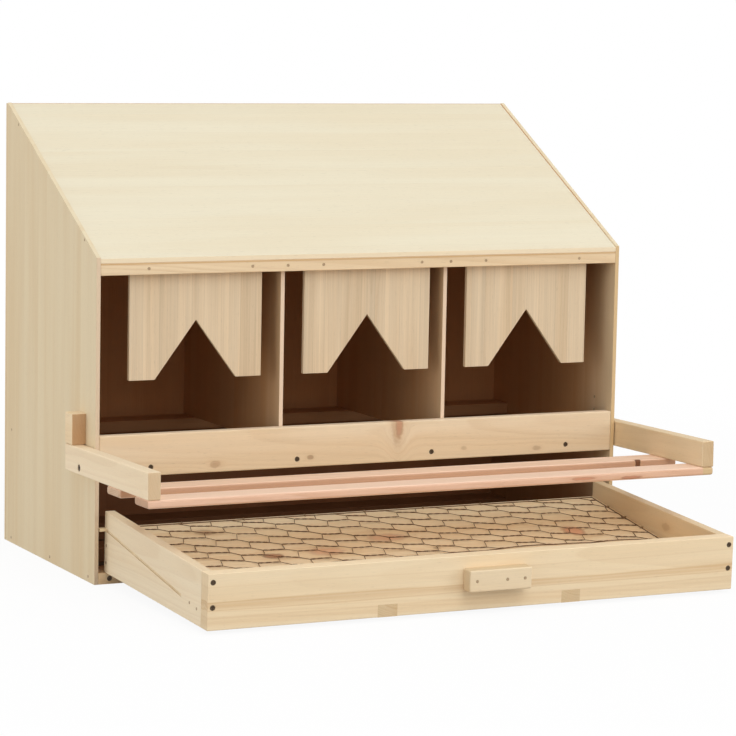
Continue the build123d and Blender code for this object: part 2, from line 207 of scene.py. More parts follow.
# %% [markdown]
# An even white sky gives about half of the light, so that no face is left in the dark and the bays darken
# smoothly towards their backs. At full strength it would wash the boards out, and at this strength it
# would look grey behind them. A Light Path node asks each ray what it is for: to the eye of the camera
# and to mirrors the sky is plain white, and to the boards it is dimmer.

# %% Sky
sky_light = 0.60
white = (1, 1, 1, 1)


def seen_directly(finish):
    """1 for what the camera or a mirror sees, 0 for the light that falls on the boards."""
    rays = finish.node("ShaderNodeLightPath", {}, {}, "Is Camera Ray")
    mirrors = rays.other("Is Glossy Ray").math("MAXIMUM", rays.other("Is Transmission Ray"))
    return rays.math("MAXIMUM", mirrors)


sky = Finish(bpy.data.worlds.new("studio_sky"))
dim = sky.node("ShaderNodeBackground", {}, {"Color": white, "Strength": sky_light})
bright = sky.node("ShaderNodeBackground", {}, {"Color": white, "Strength": 1.0})
mixed = sky.node("ShaderNodeMixShader", {}, {0: seen_directly(sky), 1: dim, 2: bright})
bpy.context.scene.world = sky.close(mixed, "ShaderNodeOutputWorld")
bpy.context.scene.view_settings.view_transform = "Standard"
print("sky ready, strength", sky_light)

# %% [markdown]
# The floor is one large pale sheet. A big white floor would throw too much light up under the lip, so to
# the boards it is grey. To the camera it is nearly white around the box, where it keeps a little of its
# real shading so that the box's shadow still shows, and plain white far away, so that no horizon shows.
# The floor under the cabinet, seen through the slits between the boards, is painted dark: painted shade.

# %% Floor
floor_size = 30
white_near = 0.92
white_fade = (0.7, 1.8)
under_edge = 4.5 * MM
floor_bounce = (0.50, 0.48, 0.46, 1)
floor_paper = (0.9, 0.9, 0.9, 1)
painted_shade_under = (0.09, 0.055, 0.035, 1)


def floor_finish():
    finish = new_finish("studio_floor")
    place = finish.node("ShaderNodeTexCoord", {}, {}, "Object")
    away = finish.node("ShaderNodeVectorMath", {"operation": "LENGTH"}, {0: place}, "Value")
    x = finish.parts(place)
    y = x.other("Y")
    half_width = -corner.x
    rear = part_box("back_panel")[1].y
    across = 1 - x.math("ABSOLUTE").ramp(half_width - under_edge, half_width)
    inside = y.ramp(corner.y, corner.y + under_edge) * (1 - y.ramp(rear - under_edge, rear)) * across
    share = (away.ramp(*white_fade) * (1 - white_near) + white_near) * (1 - inside)
    # Under the cabinet both colours are the painted shade.
    bounce_colour = finish.blend(inside, floor_bounce, painted_shade_under)
    paper_colour = finish.blend(inside, floor_paper, painted_shade_under)
    bounce = finish.node("ShaderNodeBsdfDiffuse", {}, {"Color": bounce_colour})
    paper = finish.node("ShaderNodeBsdfDiffuse", {}, {"Color": paper_colour})
    glow = finish.node("ShaderNodeEmission", {}, {"Color": white, "Strength": 1.0})
    shown = finish.node("ShaderNodeMixShader", {}, {0: share, 1: paper, 2: glow})
    by_ray = {0: seen_directly(finish), 1: bounce, 2: shown}
    return finish.close(finish.node("ShaderNodeMixShader", {}, by_ray))


def placed(name, shape, material):
    """Turns a finished shape into an object of the scene, with its place in its mesh."""
    mesh = bpy.data.meshes.new(name)
    shape.to_mesh(mesh)
    shape.free()
    mesh.materials.append(material)
    piece = bpy.data.objects.new(name, mesh)
    bpy.context.scene.collection.objects.link(piece)
    return piece


sheet = bmesh.new()
bmesh.ops.create_grid(sheet, x_segments=1, y_segments=1, size=floor_size / 2)
floor = placed("studio_floor", sheet, floor_finish())
print("floor ready,", floor_size, "metres wide")

# %% [markdown]
# Five large soft lamps give the other half. The widest hangs high above the box, so that upward faces are
# a little brighter than the front ones. The main one stands high in front. One from the right fills the
# front boards at a slant, so it does not shine straight into the bays. One on the left lights the side
# panel from slightly behind, so that the cabinet itself shades the inner faces of the right arm and the
# tray, and a weak one further forward on that side just reaches the front edges of the partitions. Lamps
# that stand far away light the whole box evenly.

# %% Lamps
aim = (cad_box[0] + cad_box[1]) / 2


def soft_lamp(name, place, width, power):
    lamp = bpy.data.lights.new(name, "AREA")
    lamp.shape = "SQUARE"
    lamp.size = width
    lamp.energy = power
    holder = bpy.data.objects.new(name, lamp)
    holder.location = place
    holder.rotation_mode = "QUATERNION"
    holder.rotation_quaternion = (aim - Vector(place)).to_track_quat("-Z", "Y")
    bpy.context.scene.collection.objects.link(holder)
    print(name, width, "metres wide,", power, "watts")


soft_lamp("top_lamp", (0.0, -1.8, 6.0), width=4.0, power=72)
soft_lamp("front_lamp", (0.2, -3.8, 3.0), width=3.0, power=62)
soft_lamp("right_lamp", (4.0, -3.6, 1.2), width=2.4, power=48)
soft_lamp("left_lamp", (-4.0, 1.3, 0.6), width=2.0, power=40)
soft_lamp("left_front_lamp", (-4.0, -1.4, 0.7), width=2.0, power=28)

# %% [markdown]
# Sawn softwood is a solid, so its pattern is made as one. Each board gets three directions: along the
# grain, across the face and down into the wood. A painted picture would need a seam at every corner. A
# pattern that fills the wood runs on over each edge by itself. Noise that is stretched along the grain
# gives streaks, fibres and every other long mark.

# %% Directions of the grain
Grain = namedtuple("Grain", "along across depth end edge seed")
board_numbers = count(1)
seed_step = 7.31
squarely = (0.6, 0.9)


def grain_of(finish, node, along, face, turn):
    """The three directions of a board, in metres from its middle, and masks of its ends and its edges."""
    low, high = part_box(node)
    middle = (low + high) / 2
    coordinates = finish.node("ShaderNodeTexCoord", {}, {}, "Object")
    frame_of_board = {"Vector": coordinates, "Location": middle, "Rotation": (turn, 0, 0)}
    axes = finish.parts(finish.node("ShaderNodeMapping", {"vector_type": "TEXTURE"}, frame_of_board))
    facing = finish.parts(coordinates.other("Normal"))
    across = ({"X", "Y", "Z"} - {along, face}).pop()
    end = facing.other(along).math("ABSOLUTE").ramp(*squarely)
    edge = facing.other(across).math("ABSOLUTE").ramp(*squarely)
    seed = next(board_numbers) * seed_step
    return Grain(axes.other(along), axes.other(across), axes.other(face), end, edge, seed)


def streaks(finish, grain, length, width, shift, detail=2.0):
    """Noise whose marks are so long along the grain and so wide across it, from about 0 to 1."""
    spot = finish.point(
        grain.along / length + (grain.seed + shift),
        grain.across / width + shift,
        grain.depth / width,
    )
    return finish.node("ShaderNodeTexNoise", {}, {"Vector": spot, "Scale": 1.0, "Detail": detail})


print("grain helpers ready")

# %% [markdown]
# A knot is the foot of a branch, and the rings of the trunk flow round it. A round spot laid over
# straight rings looks like a sticker. So each knot, with its slightly ragged outline, first bends the
# board's directions around itself, and its own colour comes later.

# %% Knots that bend the grain
Knot = namedtuple("Knot", "along across radius stretch strength red")
ragged = 0.6
bend_fall = 0.22
bend_share = 0.9
bend_middle = 0.6


def around_knots(finish, board, grain, knots):
    """A board's grain bent around its knots, with the distance to each in its own radii."""
    across = grain.across
    spots = []
    for knot in knots:
        off_along = (board.along - knot.along) / (knot.radius * knot.stretch)
        off_across = (board.across - knot.across) / knot.radius
        outline = streaks(finish, board, length=0.006, width=0.004, shift=31.0 + knot.along)
        distance = (off_along * off_along + off_across * off_across).math("SQRT")
        distance = distance + (outline * ragged - ragged / 2)
        push = (0 - distance * distance * bend_fall).math("EXPONENT") * off_across.math("SIGN") * knot.radius
        across = across - push * (off_across.math("ABSOLUTE").ramp(0.0, bend_middle) * bend_share)
        spots.append((knot, distance))
    return grain._replace(across=across), spots


print("knots have", ", ".join(Knot._fields))

# %% [markdown]
# Growth rings are the distance to a pith line that lies off the board, bent by slow noise. A board cut
# from them shows arches on its face, straight lines on its edge and arcs on its end without any further
# work. Rings in pine are pale for most of their width, darken towards the late summer wood and then stop
# short. The width of the rings and the depth of their colour change from year to year.

# %% Growth rings
summer = (0.25, 0.88)
winter = (0.90, 1.0)
faintest_year = 0.3
ring_spread = 2.4
spread_pace = 0.23


def growth_rings(finish, grain, wood):
    """How much late wood shows, from 0 to 1."""
    slow = streaks(finish, grain, length=0.30, width=0.05, shift=3.0)
    drift = finish.node("ShaderNodeSeparateColor", {}, {0: slow.other("Color")})
    off_across = grain.across - wood.pith[0] + grain.along * wood.lean[0] + (drift - 0.5) * wood.wander
    off_depth = grain.depth - wood.pith[1] + grain.along * wood.lean[1] + (drift.other(1) - 0.5) * wood.wander
    years = (off_across * off_across + off_depth * off_depth).math("SQRT") / wood.gap
    spread = {"W": years * spread_pace + grain.seed, "Scale": 1.0}
    years = years + finish.node("ShaderNodeTexNoise", {"noise_dimensions": "1D"}, spread) * ring_spread
    season = years.math("FRACT")
    chance = {"W": years.math("FLOOR") + grain.seed}
    year = finish.node("ShaderNodeTexWhiteNoise", {"noise_dimensions": "1D"}, chance)
    late = season.ramp(*summer) * (1 - season.ramp(*winter))
    return late * (year * (1 - faintest_year) + faintest_year)


print("late wood grows between", summer[0], "and", summer[1], "of a ring")

# %% [markdown]
# Each board is described by its mean colour and a few habits: how far apart its rings lie, where its pith
# was, how much its rings and streaks show. The pale early wood, the warmer heart and the darker late wood
# are all worked out from the mean colour, so a board can be matched to the real one with a single colour.

# %% Kinds of timber
Wood = namedtuple("Wood", "pale heart late end gap pith lean wander ring streak warm")


def timber(red, green, blue, **habits):
    """A softwood whose faces come out near one colour."""
    usual = {
        "pale": tone(red * 1.025, green * 1.035, blue * 1.05),
        "heart": tone(red * 0.985, green * 0.95, blue * 0.90),
        "late": tone(red * 0.88, green * 0.79, blue * 0.67),
        "end": (0.85, 0.83, 0.80, 1),
        "gap": 3.0 * MM,
        "pith": (20 * MM, 60 * MM),
        "lean": (0.01, 0.02),
        "wander": 8 * MM,
        "ring": 0.30,
        "streak": 0.13,
        "warm": 0.5,
    }
    return Wood(**{**usual, **habits})


print("a timber is described by", len(Wood._fields), "values")

# %% [markdown]
# The wide thin panels are glued up from narrow strips, and each strip has its own tone and its own rings,
# with a hair of a glue line beside it. The panel could be cut into strips, but it is one piece in the
# frame. So a Voronoi pattern in one dimension deals the strips out across it, and the random colour of
# each strip shifts its grain to another part of the tree.

# %% Glued strips
Strips = namedtuple("Strips", "width contrast line")
strip_shift = Vector((3.0, 0.08, 0.05))
glue_line = (0.1 * MM, 0.6 * MM)


def glue_strips(finish, grain, strips):
    """A board's directions shifted strip by strip, and the lightness of its strips and glue lines."""
    spot = {"W": grain.across / strips.width + grain.seed, "Scale": 1.0, "Randomness": 0.8}
    cell = finish.node("ShaderNodeTexVoronoi", {"voronoi_dimensions": "1D"}, spot, "Color")
    edge = {"voronoi_dimensions": "1D", "feature": "DISTANCE_TO_EDGE"}
    gap = finish.node("ShaderNodeTexVoronoi", edge, spot, "Distance") * strips.width
    chance = finish.node("ShaderNodeSeparateColor", {}, {0: cell})
    shifted = grain._replace(
        along=grain.along + chance * strip_shift.x,
        across=grain.across + (chance.other(1) - 0.5) * strip_shift.y,
        depth=grain.depth + chance.other(2) * strip_shift.z,
    )
    glue = 1 - gap.ramp(*glue_line)
    return shifted, (chance.other(2) - 0.5) * strips.contrast - glue * strips.line


print("strip helper ready")

# %% [markdown]
# The shade inside the bays is painted on: those faces take a painted amber shade that grows with their
# depth behind the front. Below the lip, where the tray runs in, the painted shade is darker still. The
# inner faces could have a second material, but it would begin at a hard line. A mask made from the place
# and the facing of each point lets the painted shade fade in and leaves the outer faces alone.

# %% Painted shade inside the bays
PaintedShade = namedtuple("PaintedShade", "start deep facing amount", defaults=[1.0])
shade_amber = (0.85, 0.56, 0.38, 1)
shade_under_lip = (0.50, 0.42, 0.37, 1)
lip_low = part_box("lip_board")[0].z
lip_shade = (lip_low - 10 * MM, lip_low + 20 * MM)
shade_turn = (0.4, 0.8)


def painted_shade(finish, colour, shade):
    """A colour with painted amber shade behind the front, on all faces or on those that look one way."""
    coordinates = finish.node("ShaderNodeTexCoord", {}, {}, "Object")
    place = finish.parts(coordinates)
    mask = place.other("Y").ramp(shade.start, shade.start + shade.deep) * shade.amount
    if shade.facing:
        axis, sign = shade.facing
        mask = mask * (finish.parts(coordinates.other("Normal")).other(axis) * sign).ramp(*shade_turn)
    below = 1 - place.other("Z").ramp(*lip_shade)
    colour = finish.blend(mask, colour, shade_amber, "MULTIPLY")
    return finish.blend(mask * below, colour, shade_under_lip, "MULTIPLY")


# Below this height the painted shade under the lip is darkest.
print("the stain is darkest below", round(lip_shade[0], 3))

# %% [markdown]
# Over the rings lie bands of darker wood, which run the length of a board, and the knots. Knots of living
# branches are red and those of dead ones brown. A strong knot has a crisp edge and a dark rim, and a
# faint one fades out softly. Bands and knots are placed one by one, because the eye knows a board by them.
# The knots are given in millimetres in the frame, where they are easy to measure.

# %% Bands and knots
Band = namedtuple("Band", "across half_width amount wave", defaults=[12 * MM])
live_knot = tone(210, 122, 86)
dead_knot = tone(120, 74, 44)
knot_rim = tone(84, 48, 28)
halo_fade = (0.8, 2.6)
heart_edge = (0.75, 1.05)
rim_start = (0.55, 0.85)
rim_end = (0.9, 1.2)
halo_share = 0.45
rim_share = 0.7
softest = 0.5


def banded(finish, colour, board, bands, ripple, wood):
    """A colour with bands of late wood along the board, which wander with its long streaks."""
    for band in bands:
        offset = (board.across - band.across + ripple * band.wave) / band.half_width
        colour = finish.blend((0 - offset * offset).math("EXPONENT") * band.amount, colour, wood.late)
    return colour


def knotted(finish, colour, spots, wood):
    """A colour with the halo, the heart and the rim of each knot."""
    for knot, distance in spots:
        soft = softest * (1 - knot.strength)
        halo = (1 - distance.ramp(*halo_fade)) * (halo_share * knot.strength)
        body = (1 - distance.ramp(heart_edge[0] - soft, heart_edge[1] + soft)) * knot.strength
        rim = distance.ramp(*rim_start) * (1 - distance.ramp(*rim_end)) * (rim_share * knot.strength ** 2)
        heart = [dead + (live - dead) * knot.red for live, dead in zip(live_knot, dead_knot)]
        colour = finish.blend(halo, colour, wood.late)
        colour = finish.blend(body, colour, heart)
        colour = finish.blend(rim, colour, knot_rim)
    return colour


def knot_on(node, along, across, places):
    """Knots given in the frame's millimetres, as along, across, radius, stretch, strength and redness."""
    low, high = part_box(node)
    middle = (low + high) / 2
    return [
        Knot(a * MM - getattr(middle, along), c * MM - getattr(middle, across), radius * MM, *look)
        for a, c, radius, *look in places
    ]


print("band and knot helpers ready")

# %% [markdown]
# The finish of a board puts these together: the rings, long tone streaks, fine fibres, small dark resin
# marks, a slow drift towards the warmer heart, the bands, the knots and the painted shade inside the bays.
# Sawn ends drink more and are darker on most boards. One shared material would be quicker, but then every
# board would come from the same place in the tree, so each gets a material and a seed of its own.

# %% Softwood
Tip = namedtuple("Tip", "start colour")
tip_edge = 2 * MM
resin_marks = (0.72, 0.82)
warm_patches = (0.35, 0.70)
fine_share = 0.7
fibre_contrast = 0.09
resin_contrast = 0.12
sawn_roughness = 0.62
relief = 0.6 * MM


def softwood(node, along, face, wood, turn=0.0, strips=None,
             knots=(), bands=(), shades=(), edge=None, tip=None):
    """Gives a board its own softwood, cut from its own tree."""
    finish = new_finish(node)
    board = grain_of(finish, node, along, face, turn)
    grain, lightness = glue_strips(finish, board, strips) if strips else (board, 0.0)
    grain, spots = around_knots(finish, board, grain, knots)
    late = growth_rings(finish, grain, wood)
    long_streak = streaks(finish, grain, length=0.45, width=0.012, shift=11.0, detail=3.0) - 0.5
    fine_streak = streaks(finish, grain, length=0.15, width=0.0018, shift=17.0, detail=3.0) - 0.5
    fibre = streaks(finish, grain, length=0.020, width=0.00035, shift=23.0, detail=1.0) - 0.5
    resin = streaks(finish, grain, length=0.008, width=0.0006, shift=41.0, detail=0.0)
    resin = resin.ramp(*resin_marks)
    warmth = streaks(finish, grain, length=0.50, width=0.035, shift=53.0).ramp(*warm_patches)

    colour = finish.blend(warmth * wood.warm, wood.pale, wood.heart)
    if edge:
        colour = finish.blend(board.edge, colour, edge)
    colour = banded(finish, colour, board, bands, long_streak, wood)
    colour = finish.blend(late * wood.ring, colour, wood.late)
    streaky = long_streak * wood.streak + fine_streak * (wood.streak * fine_share)
    lightness = lightness + (streaky + fibre * fibre_contrast + 1)
    colour = finish.lit(colour, lightness - resin * resin_contrast)
    colour = knotted(finish, colour, spots, wood)
    if tip:
        colour = finish.blend(board.along.ramp(tip.start, tip.start + tip_edge), colour, tip.colour)
    colour = finish.blend(board.end, colour, wood.end, "MULTIPLY")
    # The painted shade inside the bays goes on last.
    for shade in shades:
        colour = painted_shade(finish, colour, shade)

    height = late * 0.5 + fibre * 0.6 + fine_streak * 0.4
    sockets = {
        "Base Color": colour,
        "Roughness": sawn_roughness + fibre * 0.2 - late * 0.08,
        "Specular IOR Level": 0.3,
        "Normal": finish.node("ShaderNodeBump", {}, {"Height": height, "Strength": 0.25, "Distance": relief}),
    }
    material = finish.close(finish.node("ShaderNodeBsdfPrincipled", {}, sockets))
    nodes[node].material_slots[0].material = material


print("softwood ready")

# %% [markdown]
# The thin panels come first: sides, back, partitions and curtains stand with their grain upright, and the
# roof runs it from side to side. The roof is turned with its slope, so that its pattern lies flat in the
# panel. It is the palest of all. The sloped top edges of the sides are ends of their grain, but they are
# pale too, so that they go with the roof. The curtains are glued up from the narrowest strips.

# %% Panels
roof_low, roof_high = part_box("roof_panel")
roof_slope = math.atan2(roof_high.z - roof_low.z, roof_high.y - roof_low.y)
roof_pine = timber(224, 213, 186, ring=0.07, streak=0.03, warm=0.3)
pale_end = (1.06, 1.09, 1.13, 1)
side_pine = timber(216, 197, 162, ring=0.07, streak=0.04, warm=0.6, gap=4 * MM, end=pale_end)
curtain_pine = timber(212, 190, 158, ring=0.14, streak=0.36, gap=2 * MM)
back_pine = timber(214, 191, 154, ring=0.09, streak=0.05)
edge_tones = {"left_side_panel": tone(220, 197, 168), "right_side_panel": tone(214, 184, 138)}
front = corner.y

roof_strips = Strips(width=0.09, contrast=0.012, line=0.008)
# Painted shade: the underside of the roof, the inner faces of the sides, both faces of the partitions, the
# inner face of the back and the rear faces of the curtains go amber behind the front.
roof_underside_shade = PaintedShade(start=front, deep=0.08, facing=("Z", -1))
softwood("roof_panel", "X", "Z", roof_pine, turn=roof_slope, strips=roof_strips, shades=[roof_underside_shade],
         edge=tone(238, 220, 188))
side_strips = Strips(width=0.028, contrast=0.012, line=0.004)
for panel, inward in (("left_side_panel", 1), ("right_side_panel", -1)):
    side_inside_shade = PaintedShade(start=front - 0.03, deep=0.13, facing=("X", inward))
    softwood(panel, "Z", "X", side_pine, strips=side_strips, shades=[side_inside_shade], edge=edge_tones[panel])
partition_strips = Strips(width=0.028, contrast=0.05, line=0.02)
for panel in ("partition_left", "partition_right"):
    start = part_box(panel)[0].y - 0.06
    partition_shade = [PaintedShade(start, deep=0.12, facing=("X", sign), amount=0.92) for sign in (-1, 1)]
    softwood(panel, "Z", "X", side_pine, strips=partition_strips, shades=partition_shade, edge=tone(230, 205, 178))
back_strips = Strips(width=0.05, contrast=0.06, line=0.03)
# The back's inner face takes the painted shade twice, the second time weaker.
back_inside_shade = PaintedShade(start=front, deep=0.1, facing=("Y", -1))
softwood("back_panel", "Z", "Y", back_pine, strips=back_strips,
         shades=[back_inside_shade, back_inside_shade._replace(amount=0.3)])
curtain_strips = Strips(width=0.020, contrast=0.09, line=0.10)
curtain_rear_shade = PaintedShade(start=front, deep=0.005, facing=("Y", 1))
for panel in ("curtain_left", "curtain_middle", "curtain_right"):
    softwood(panel, "Z", "Y", curtain_pine, strips=curtain_strips, shades=[curtain_rear_shade])
print("panels dressed, roof slope", round(math.degrees(roof_slope), 1))

# %% [markdown]
# The boards and battens are single sticks. The lip has a few small knots and one long one that was sawn
# along its length at the top edge: a tan wedge with a redder one inside it, so it is made of two. The lip's
# top and bottom faces are painted paler, a painted highlight along its top edge. A dark line along the top
# batten is a painted shadow under the roof's front edge. The stop blocks show their end grain to the front,
# and their front faces are much darker than their sides. The rails behind the lip and along the back are
# deep inside and carry painted shade: a darker wood under the painted amber shade. The top of the back
# rail is painted paler than its front and back, painted light where little light reaches. The bottom front
# batten is painted paler against the tray's shadow, with painted shade on its faces behind the front.

# %% Boards of the cabinet
lip_knots = knot_on("lip_board", "x", "z", [
    (-194, 133, 4.2, 1.5, 0.34, 0.2),
    (-72, 135, 2.6, 1.6, 0.45, 0.0),
    (42, 172, 27.0, 0.27, 0.32, 0.25),
    (45, 172, 19.0, 0.25, 0.44, 0.6),
    (133, 136, 2.4, 1.6, 0.22, 0.0),
    (234, 131, 2.8, 2.0, 0.30, 0.0),
])
# A dark band along the batten: a painted shadow under the roof's front edge.
roof_joint_shadow = Band(across=2.4 * MM, half_width=1.1 * MM, amount=0.85, wave=0.0)
softwood("top_front_batten", "X", "Y", timber(226, 201, 164), bands=[roof_joint_shadow])
lip_pine = timber(226, 203, 170, warm=0.6, ring=0.22)
# The lip's top and bottom faces are painted paler: a painted highlight along its top edge.
softwood("lip_board", "X", "Y", lip_pine, knots=lip_knots, edge=tone(244, 220, 188))
# A darker wood for the boards deep inside: painted shade, under the painted amber shade.
shaded_inner_pine = timber(176, 153, 122)
deep_inside_shade = PaintedShade(start=front - 0.1, deep=0.01, facing=None)
for board in ("lip_rail", "bottom_middle_batten", "bottom_rear_batten"):
    softwood(board, "X", "Z", shaded_inner_pine, shades=[deep_inside_shade])
# The back rail's top face is paler than its front and back: painted light where little light reaches.
softwood("back_rail", "X", "Z", timber(206, 180, 144), shades=[deep_inside_shade], edge=shaded_inner_pine.pale)
# The bottom front batten is painted paler, painted light against the tray's shadow, and its faces behind the
# front take painted shade.
shade_behind_front = PaintedShade(start=front + 0.004, deep=0.04, facing=None)
softwood("bottom_front_batten", "X", "Y", timber(238, 208, 166), shades=[shade_behind_front])
block_pine = timber(230, 206, 168, ring=0.14, end=(0.66, 0.52, 0.43, 1))
for board in ("stop_block_left", "stop_block_right"):
    softwood(board, "Y", "X", block_pine)
print("cabinet boards dressed, knots in the lip", len(lip_knots))

# %% [markdown]
# The perch has two arms of pale wood and two slats of a pinker one, with one dark dead knot near the
# right end of the rear slat and two red flecks along the front edge of the front one. The slats' tops are
# painted paler and their front faces darker: painted light and painted shade for light that falls from
# above, and on the rear slat also the front slat's shadow. Their sawn ends are a dull tan. The front
# slat's right end, under the arm, is sapwood of the same tan as the arm. Of the front slat the front edge
# shows most, so its grain is laid out for that face, and that of the rear slat for its top.

# %% Perch
arm_pine = timber(232, 211, 178, warm=0.3, ring=0.14, streak=0.08, end=(0.80, 0.72, 0.64, 1))
right_arm_pine = timber(226, 203, 166, ring=0.14, streak=0.08, end=arm_pine.end)
softwood("perch_arm_left", "Y", "X", arm_pine)
softwood("perch_arm_right", "Y", "X", right_arm_pine)
slat_end = (0.66, 0.64, 0.57, 1)
rear_slat_pine = timber(240, 206, 179, ring=0.40, streak=0.20, end=slat_end)
rear_slat_knots = knot_on("perch_slat_rear", "x", "y", [(306, -117, 3.0, 1.2, 1.0, 0.0)])
front_slat_pine = timber(224, 183, 155, ring=0.30, streak=0.20, end=slat_end)
front_slat_knots = knot_on("perch_slat_front", "x", "z", [
    (182, 127, 1.8, 9.0, 0.5, 0.7),
    (247, 125, 1.8, 8.0, 0.6, 0.6),
])
sapwood = Tip(start=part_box("perch_arm_right")[0].x, colour=tone(214, 184, 140))
# Its top and bottom take the paler colour of the rear slat: painted light on the top.
softwood("perch_slat_front", "X", "Y", front_slat_pine, knots=front_slat_knots, edge=rear_slat_pine.pale,
         tip=sapwood)
# Its front and back faces are painted darker: painted shade, most of all the shadow of the front slat.
softwood("perch_slat_rear", "X", "Z", rear_slat_pine, knots=rear_slat_knots, edge=tone(202, 158, 128))
print("perch dressed, sapwood from", round(sapwood.start, 3))

# %% [markdown]
# The tray's boards lie in the tray's own slight tilt, and its floor in a steeper one, so their grain is
# turned with them. A warm band of heartwood runs along the whole front board. It is made of several bands
# of different widths, because a single one would look like a painted stripe. The ends of the runners show
# as two darker patches in the lower edge of the front board.

# %% Boards of the tray
tray_tilt = math.radians(1.67)
tray_pine = timber(234, 211, 174, warm=0.35, ring=0.22, streak=0.12)
front_bands = [
    Band(across=-0.5 * MM, half_width=1.1 * MM, amount=0.50),
    Band(across=-4.0 * MM, half_width=3.0 * MM, amount=0.45),
    Band(across=-8.5 * MM, half_width=0.8 * MM, amount=0.40),
    Band(across=-17.0 * MM, half_width=1.2 * MM, amount=0.22),
    Band(across=-22.0 * MM, half_width=3.5 * MM, amount=0.20),
    Band(across=16.0 * MM, half_width=1.0 * MM, amount=0.16),
]
softwood("tray_front_board", "X", "Y", tray_pine, turn=tray_tilt, bands=front_bands)
softwood("tray_rear_board", "X", "Y", tray_pine, turn=tray_tilt)
handle_pine = timber(228, 205, 169, ring=0.15)
# The handle's top and bottom faces are painted darker: painted shade that tones down its lit top and the
# light it throws onto the board above.
softwood("tray_handle", "X", "Y", handle_pine, turn=tray_tilt, edge=tone(214, 189, 150))
left_pine = timber(229, 210, 178, warm=0.4, ring=0.16, streak=0.08)
softwood("tray_side_left", "Y", "X", left_pine, turn=tray_tilt)
right_pine = timber(220, 196, 158, warm=0.4, ring=0.16, streak=0.08)
side_knots = knot_on("tray_side_right", "y", "z", [(-168, 57, 4.5, 1.8, 0.28, 0.2)])
softwood("tray_side_right", "Y", "X", right_pine, turn=tray_tilt, knots=side_knots)
for board in ("tray_runner_left", "tray_runner_right"):
    softwood(board, "Y", "Z", timber(228, 202, 162), turn=tray_tilt)
print("tray boards dressed, bands in the front", len(front_bands))

# %% [markdown]
# The floor under the net is a thin panel of wide strips. It is the warmest of all and has the most knots,
# and its largest ones are red. Seen through the net at a low angle they are what tells the floor from a
# plain sheet, so they are placed one by one.

# %% Floor of the tray
floor_slope = tray_tilt + math.radians(6.8)
floor_knots = knot_on("tray_floor", "x", "y", [
    (-176, -126, 9.0, 1.4, 0.70, 0.3),
    (-221, -31, 9.0, 1.4, 0.45, 0.1),
    (-16, -90, 13.0, 1.8, 0.40, 0.9),
    (-108, -122, 13.0, 1.8, 0.40, 0.9),
    (27, -137, 3.5, 1.4, 0.40, 0.0),
    (223, -111, 16.0, 0.85, 0.55, 1.0),
    (120, -210, 6.0, 1.6, 0.50, 0.2),
])
floor_pine = timber(236, 214, 176, warm=0.7, ring=0.34, streak=0.20)
floor_strips = Strips(width=0.075, contrast=0.10, line=0.06)
softwood("tray_floor", "X", "Z", floor_pine, turn=floor_slope, strips=floor_strips, knots=floor_knots)
print("tray floor dressed, slope", round(math.degrees(floor_slope), 2), "knots", len(floor_knots))

# %% [markdown]
# Two kinds of steel hold it together: dark coated screws, and plain nails and staples that have dulled
# towards the colour of the wood. The net's wire is a dark brown: partly the dull wire itself and partly
# painted shade. A head of one flat colour would look like a printed dot, so all of them have a fine
# mottle in their colour and a coarser one in their roughness.

# %% Steel
colour_mottle = {"Scale": 900.0, "Detail": 3.0}
gloss_mottle = {"Scale": 240.0, "Detail": 2.0}


def steel(name, pale, dark, metallic, roughness):
    finish = new_finish(name)
    coordinates = finish.node("ShaderNodeTexCoord", {}, {}, "Object")
    mottle = finish.node("ShaderNodeTexNoise", {}, {"Vector": coordinates, **colour_mottle})
    patch = finish.node("ShaderNodeTexNoise", {}, {"Vector": coordinates, **gloss_mottle})
    dents = {"Height": mottle, "Strength": 0.1, "Distance": 0.1 * MM}
    sockets = {
        "Base Color": finish.blend(mottle.ramp(0.35, 0.7), pale, dark),
        "Metallic": metallic,
        "Roughness": (patch - 0.5) * 0.3 + roughness,
        "Normal": finish.node("ShaderNodeBump", {}, dents),
    }
    return finish.close(finish.node("ShaderNodeBsdfPrincipled", {}, sockets))


screw_steel = steel("screw_steel", tone(104, 86, 66), tone(62, 48, 36), metallic=0.5, roughness=0.5)
nail_steel = steel("nail_steel", tone(186, 160, 126), tone(146, 120, 90), metallic=0.35, roughness=0.5)
# The net's dark brown wire is partly painted shade.
net_wire_and_shade = steel("net_wire_and_shade", tone(124, 88, 54), tone(84, 55, 32), metallic=0.15, roughness=0.55)
screws = ["lip_screws", "batten_screws", "pivot_screws", "slat_screws", "corner_screws"]
nails = ["side_nails", "batten_nails", "back_nails", "block_nails", "net_staples"]
nails += ["floor_nails", "rear_board_nails", "handle_nails"]
for names, material in ((screws, screw_steel), (nails, nail_steel)):
    for name in names:
        nodes[name].material_slots[0].material = material
print("steel dressed, kinds of screws", len(screws), "of nails and staples", len(nails))

# %% [markdown]
# The net is poultry netting: pairs of wires twist round each other along one side of each six-sided cell,
# part at the end of the twist, and meet the next pair half a cell further on. A flat pattern of lines
# would look printed, so the wire is modelled round. Only half of one strand has to be shaped: a ring of
# the wire starts halfway along a slanting side, is carried round the bend, and is then spun along the
# twist. Turning copies of it by half a turn gives the other half and the other strand.

# %% Half a strand of the twist
wire_radius = 0.38 * MM
wire_sides = 6
cell_length = 33.4 * MM
cell_width = 27.9 * MM
twist_length = 25 * MM
half_twist_turns = 0.75
twist_steps = 6
bend_from, bend_until = 0.84, 0.96
aside_from, aside_until = 0.6, 0.9
up = Vector((0, 0, 1))


def stance(point, along, upright):
    """The place of a ring of wire: its middle, and which way the wire runs through it."""
    along = along.normalized()
    side = upright.cross(along).normalized()
    turn = Matrix((side, along.cross(side), along)).transposed().to_4x4()
    return Matrix.Translation(point) @ turn


def verts_of(items):
    return [item for item in items if isinstance(item, bmesh.types.BMVert)]


